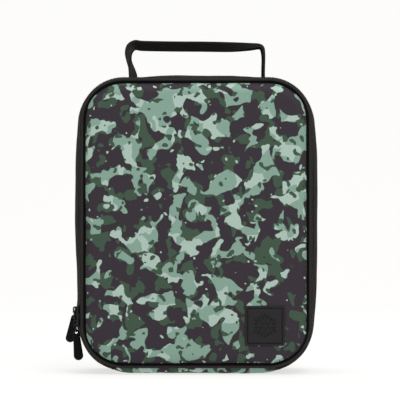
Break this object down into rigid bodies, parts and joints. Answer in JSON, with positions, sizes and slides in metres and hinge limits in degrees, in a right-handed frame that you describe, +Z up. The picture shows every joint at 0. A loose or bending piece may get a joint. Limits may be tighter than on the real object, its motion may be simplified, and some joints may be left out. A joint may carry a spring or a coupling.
{
  "type": "insulated cooler bag",
  "caption": "Upright padded clamshell lunch cooler bag with a zipped fold-down front, piped edges, a folded webbing top handle and an inner mesh pocket.",
  "frame": {"origin": "on the floor, under the middle of the base's flat underside", "axes": "+Z up, -Y out of the front panel, +X to the right as seen from the front"},
  "size_m": [0.232, 0.0919, 0.3045],
  "materials": {
    "camo_fabric": "printed polyester weave, matte",
    "black_fabric": "matte polyester weave",
    "foam": "closed-cell foam, matte",
    "lining": "satin coated liner",
    "piping": "matte bias tape over a cord",
    "binding": "matte folded tape",
    "zip_tape": "woven tape, matte",
    "zip_coil": "nylon coil, satin",
    "mesh": "open knit mesh",
    "elastic": "folded elastic tape, matte",
    "webbing": "ribbed woven webbing, matte",
    "backing_plastic": "stiff sheet",
    "label": "blank satin label",
    "badge_rubber": "moulded, satin",
    "pull_rubber": "moulded, satin",
    "slider_metal": "black painted die-cast zinc"
  },
  "bodies": {
    "bag": {"back_panel_fabric": "camo_fabric", "back_panel_foam": "foam", "back_panel_lining": "lining", "back_piping": "piping", "back_seam_binding": "binding", "side_fabric": "black_fabric", "side_foam": "foam", "side_lining": "lining", "base_fabric": "camo_fabric", "base_foam": "foam", "base_lining": "lining", "bag_zip_tape": "zip_tape", "bag_zip_coil": "zip_coil", "zip_end_tab_left": "black_fabric", "zip_end_tab_right": "black_fabric", "handle_anchor_left": "webbing", "handle_anchor_right": "webbing", "handle_backing_left": "backing_plastic", "handle_backing_right": "backing_plastic", "care_label": "label"},
    "lid": {"front_panel_fabric": "camo_fabric", "front_panel_foam": "foam", "front_panel_lining": "lining", "front_piping": "piping", "front_seam_binding": "binding", "badge": "badge_rubber", "lid_band": "black_fabric", "lid_zip_tape": "zip_tape", "lid_zip_coil": "zip_coil", "pocket_mesh": "mesh", "pocket_edging": "binding", "pocket_hem": "elastic"},
    "handle": {"handle_webbing": "webbing"},
    "upper_slider_body": {"upper_slider": "slider_metal"},
    "upper_pull": {"upper_pull_link": "slider_metal", "upper_pull_tab": "pull_rubber"},
    "lower_slider_body": {"lower_slider": "slider_metal"},
    "lower_pull": {"lower_pull_link": "slider_metal", "lower_pull_tab": "pull_rubber"}
  },
  "joints": [
    {"name": "lid_hinge", "type": "hinge", "parent": "bag", "child": "lid", "pos_m": [0, -0.04, 0.006], "axis": [1, 0, 0], "range_deg": [0, 87]},
    {"name": "handle_fold", "type": "hinge", "parent": "bag", "child": "handle", "pos_m": [0, 0.008, 0.284], "axis": [1, 0, 0], "range_deg": [-60, 60], "stiffness_Nm_per_rad": 0.03},
    {"name": "upper_slider_travel", "type": "slide", "parent": "bag", "child": "upper_slider_body", "axis": [0, 0, 1], "range_m": [0, 0.16]},
    {"name": "upper_pull_swing", "type": "hinge", "parent": "upper_slider_body", "child": "upper_pull", "pos_m": [-0.1099, -0.023, 0.0574], "axis": [0, 1, 0], "range_deg": [0, 140]},
    {"name": "lower_slider_travel", "type": "hinge", "parent": "bag", "child": "lower_slider_body", "pos_m": [-0.0659, -0.023, 0.044], "axis": [0, -1, 0], "range_deg": [0, 18]},
    {"name": "lower_pull_swing", "type": "hinge", "parent": "lower_slider_body", "child": "lower_pull", "pos_m": [-0.1099, -0.023, 0.045], "axis": [0, 1, 0], "range_deg": [0, 105]}
  ]
}
